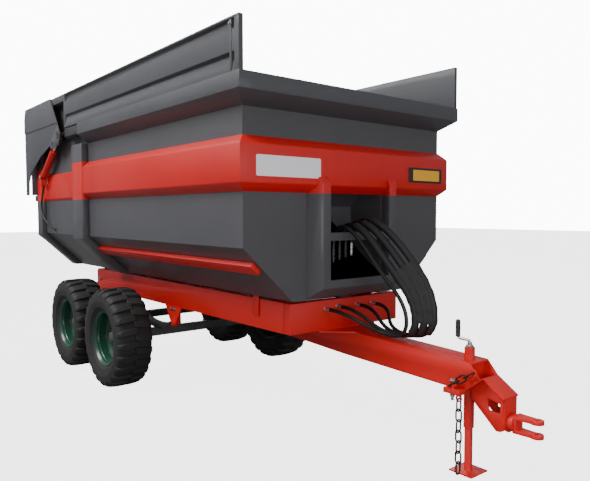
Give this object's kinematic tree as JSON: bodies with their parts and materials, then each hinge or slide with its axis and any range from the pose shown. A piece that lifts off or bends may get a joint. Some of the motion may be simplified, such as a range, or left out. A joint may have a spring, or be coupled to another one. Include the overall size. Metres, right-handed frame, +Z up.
{
  "type": "tandem-axle farm tipping trailer",
  "caption": "Farm tipping trailer: a red frame on tandem wheels carries a grey tub with a raised belt, side boards, a lifting tailgate and a telescopic front ram.",
  "frame": {"origin": "on the ground, midway along the trailer's overall length and width", "axes": "+X forward towards the hitch, +Y left, +Z up"},
  "size_m": [7.05, 2.584, 3.3],
  "materials": {
    "red_paint": "gloss paint",
    "hoop_paint": "gloss paint",
    "grey_paint": "gloss paint",
    "dark_paint": "satin paint",
    "green_paint": "gloss paint",
    "ram_steel": "polished",
    "bare_steel": "zinc plated",
    "coupler_steel": "zinc plated",
    "chain_steel": "dull",
    "tyre_rubber": "matt",
    "pad_rubber": "matt",
    "hose_rubber": "satin",
    "lamp_lens": "glossy"
  },
  "bodies": {
    "chassis": {"chassis_frame": "red_paint", "front_crossmember": "red_paint", "drawbar": "red_paint", "drawbar_head": "red_paint", "jack_tube": "red_paint", "jack_crank": "bare_steel", "axle_front": "red_paint", "axle_rear": "red_paint", "spring_hangers": "red_paint", "leaf_springs": "dark_paint", "light_bar": "dark_paint", "rear_lamps": "lamp_lens", "safety_chain": "chain_steel", "tip_shaft": "bare_steel", "rest_pads": "pad_rubber", "hose_front_1": "hose_rubber", "hose_front_2": "hose_rubber", "hose_front_3": "hose_rubber", "hose_front_4": "hose_rubber", "couplers_front": "coupler_steel"},
    "jack": {"jack_leg": "red_paint"},
    "hitch": {"yoke": "red_paint"},
    "tub": {"tub_floor": "grey_paint", "tub_side_left": "grey_paint", "tub_side_right": "grey_paint", "tub_front": "grey_paint", "recess_frame": "hoop_paint", "rim_channel": "grey_paint", "rear_hoops": "hoop_paint", "belt": "red_paint", "stringers": "red_paint", "side_board_left": "grey_paint", "side_board_right": "grey_paint", "board_tails": "grey_paint", "tub_guides": "grey_paint", "tip_lugs": "grey_paint", "trunnion_lugs": "grey_paint", "gate_pivots": "dark_paint", "gate_ram_brackets": "red_paint", "hose_gate_right": "hose_rubber"},
    "tip_ram_barrel": {"ram_barrel": "dark_paint"},
    "tailgate": {"gate_panel": "grey_paint", "gate_frame": "grey_paint", "gate_wings": "grey_paint"},
    "tip_ram_stage_1": {"ram_stage_1": "ram_steel"},
    "tip_ram_stage_2": {"ram_stage_2": "ram_steel"},
    "tip_ram_stage_3": {"ram_stage_3": "ram_steel"},
    "tip_ram_stage_4": {"ram_stage_4": "ram_steel"},
    "tip_ram_stage_5": {"ram_stage_5": "ram_steel"},
    "gate_barrel_left": {"gate_ram_barrel_left": "red_paint"},
    "gate_rod_left": {"gate_ram_rod_left": "ram_steel"},
    "gate_barrel_right": {"gate_ram_barrel_right": "red_paint"},
    "gate_rod_right": {"gate_ram_rod_right": "ram_steel"},
    "wheel_front_left": {"rim_front_left": "green_paint", "tyre_front_left": "tyre_rubber"},
    "wheel_front_right": {"rim_front_right": "green_paint", "tyre_front_right": "tyre_rubber"},
    "wheel_rear_left": {"rim_rear_left": "green_paint", "tyre_rear_left": "tyre_rubber"},
    "wheel_rear_right": {"rim_rear_right": "green_paint", "tyre_rear_right": "tyre_rubber"}
  },
  "joints": [
    {"name": "tip", "type": "hinge", "parent": "chassis", "child": "tub", "pos_m": [-2.525, 0, 1.01], "axis": [0, -1, 0], "range_deg": [0, 38]},
    {"name": "tailgate_lift", "type": "hinge", "parent": "tub", "child": "tailgate", "pos_m": [-2.125, 0, 2.85], "axis": [0, 1, 0], "range_deg": [0, 75]},
    {"name": "jack_slide", "type": "slide", "parent": "chassis", "child": "jack", "axis": [0, 0, 1], "range_m": [0, 0.3]},
    {"name": "yoke_swivel", "type": "hinge", "parent": "chassis", "child": "hitch", "pos_m": [3.27, 0, 0.46], "axis": [1, 0, 0], "continuous": true},
    {"name": "tip_ram_swing", "type": "hinge", "parent": "tub", "child": "tip_ram_barrel", "pos_m": [1.58, 0, 1.66], "axis": [0, 1, 0], "range_deg": [0, 15.2]},
    {"name": "tip_ram_slide_1", "type": "slide", "parent": "tip_ram_barrel", "child": "tip_ram_stage_1", "axis": [0, 0, -1], "range_m": [0, 0.54]},
    {"name": "tip_ram_slide_2", "type": "slide", "parent": "tip_ram_stage_1", "child": "tip_ram_stage_2", "axis": [0, 0, -1], "range_m": [0, 0.54]},
    {"name": "tip_ram_slide_3", "type": "slide", "parent": "tip_ram_stage_2", "child": "tip_ram_stage_3", "axis": [0, 0, -1], "range_m": [0, 0.54]},
    {"name": "tip_ram_slide_4", "type": "slide", "parent": "tip_ram_stage_3", "child": "tip_ram_stage_4", "axis": [0, 0, -1], "range_m": [0, 0.54]},
    {"name": "tip_ram_slide_5", "type": "slide", "parent": "tip_ram_stage_4", "child": "tip_ram_stage_5", "axis": [0, 0, -1], "range_m": [0, 0.54]},
    {"name": "gate_ram_swing_left", "type": "hinge", "parent": "tub", "child": "gate_barrel_left", "pos_m": [-2.935, 1.22, 2.36], "axis": [0, 1, 0], "range_deg": [-13.6, 0]},
    {"name": "gate_ram_slide_left", "type": "slide", "parent": "gate_barrel_left", "child": "gate_rod_left", "axis": [0.8321, 0, 0.5547], "range_m": [0, 0.21]},
    {"name": "gate_ram_swing_right", "type": "hinge", "parent": "tub", "child": "gate_barrel_right", "pos_m": [-2.935, -1.22, 2.36], "axis": [0, 1, 0], "range_deg": [-13.6, 0]},
    {"name": "gate_ram_slide_right", "type": "slide", "parent": "gate_barrel_right", "child": "gate_rod_right", "axis": [0.8321, 0, 0.5547], "range_m": [0, 0.21]},
    {"name": "wheel_front_left_spin", "type": "hinge", "parent": "chassis", "child": "wheel_front_left", "pos_m": [-0.875, 0, 0.536], "axis": [0, 1, 0], "continuous": true},
    {"name": "wheel_front_right_spin", "type": "hinge", "parent": "chassis", "child": "wheel_front_right", "pos_m": [-0.875, 0, 0.536], "axis": [0, 1, 0], "continuous": true},
    {"name": "wheel_rear_left_spin", "type": "hinge", "parent": "chassis", "child": "wheel_rear_left", "pos_m": [-2.075, 0, 0.536], "axis": [0, 1, 0], "continuous": true},
    {"name": "wheel_rear_right_spin", "type": "hinge", "parent": "chassis", "child": "wheel_rear_right", "pos_m": [-2.075, 0, 0.536], "axis": [0, 1, 0], "continuous": true}
  ],
  "couplings": [
    {"joint": "tip_ram_swing", "follows": "tip", "ratio": 0.39532},
    {"joint": "tip_ram_slide_1", "follows": "tip", "m_per_rad": 0.8036},
    {"joint": "tip_ram_slide_2", "follows": "tip", "m_per_rad": 0.8036},
    {"joint": "tip_ram_slide_3", "follows": "tip", "m_per_rad": 0.8036},
    {"joint": "tip_ram_slide_4", "follows": "tip", "m_per_rad": 0.8036},
    {"joint": "tip_ram_slide_5", "follows": "tip", "m_per_rad": 0.8036},
    {"joint": "gate_ram_swing_left", "follows": "tailgate_lift", "ratio": -0.17818},
    {"joint": "gate_ram_slide_left", "follows": "tailgate_lift", "m_per_rad": 0.153},
    {"joint": "gate_ram_swing_right", "follows": "tailgate_lift", "ratio": -0.17818},
    {"joint": "gate_ram_slide_right", "follows": "tailgate_lift", "m_per_rad": 0.153}
  ]
}
